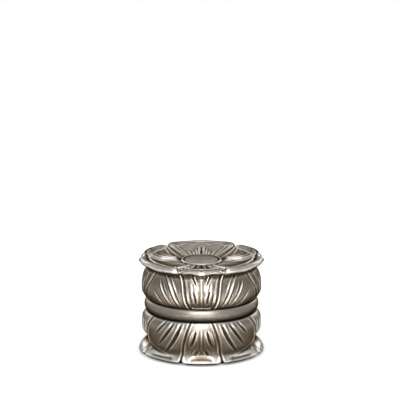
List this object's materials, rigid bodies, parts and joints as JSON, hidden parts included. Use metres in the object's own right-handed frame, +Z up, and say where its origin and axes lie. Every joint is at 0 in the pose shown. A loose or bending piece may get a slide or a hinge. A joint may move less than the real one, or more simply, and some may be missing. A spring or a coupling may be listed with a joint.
{
  "type": "cryptex",
  "caption": "Round lotus-shaped metal puzzle box: turn the middle ring and the upper lotus until their gates line up, then lift the flower cap.",
  "frame": {"origin": "centre of the felt pad's underside, where the box stands", "axes": "+Z up along the axis that the dials turn about; -Y is the front, under the middle of the narrow front petal"},
  "size_m": [0.0792, 0.08, 0.0624],
  "materials": {
    "cast_pewter": "antique pewter casting, satin high spots, dark brown patina in the grooves",
    "ring_pewter": "turned pewter band, softly polished, patina at its edges",
    "brass": "turned brass with fine lathe lines, lightly aged",
    "steel": "turned and ground steel",
    "spring_steel": "drawn spring wire",
    "bronze": "oiled phosphor bronze",
    "felt": "pressed wool felt"
  },
  "bodies": {
    "base": {"lower_lotus": "cast_pewter", "base_drum": "brass", "base_plate": "brass", "base_screws": "steel", "felt_pad": "felt", "guide_tube": "brass", "tube_screws": "steel", "well_liner": "felt", "ring_detent_balls": "steel", "ring_detent_springs": "spring_steel", "lower_thrust_washer": "bronze", "top_collar": "brass", "collar_set_screws": "steel", "wave_spring": "spring_steel"},
    "ring": {"middle_ring": "ring_pewter", "ring_code_wheel": "brass", "ring_wheel_screws": "steel", "dial_detent_balls": "steel", "dial_detent_springs": "spring_steel", "middle_thrust_washer": "bronze"},
    "dial": {"upper_lotus": "cast_pewter", "dial_drum": "brass", "dial_lock_nut": "brass", "dial_code_wheel": "brass", "dial_wheel_screws": "steel"},
    "lid": {"flower_cap": "cast_pewter", "key_sleeve": "steel", "sleeve_screws": "steel", "lock_pins": "steel", "cap_medallion": "cast_pewter", "medallion_nut": "steel", "lid_liner": "felt"}
  },
  "joints": [
    {"name": "ring_turn", "type": "hinge", "parent": "base", "child": "ring", "pos_m": [0, 0, 0.0315], "axis": [0, 0, 1], "continuous": true},
    {"name": "dial_turn", "type": "hinge", "parent": "base", "child": "dial", "pos_m": [0, 0, 0.045], "axis": [0, 0, 1], "continuous": true},
    {"name": "lid_lift", "type": "slide", "parent": "base", "child": "lid", "axis": [0, 0, 1], "range_m": [0, 0.05]}
  ]
}
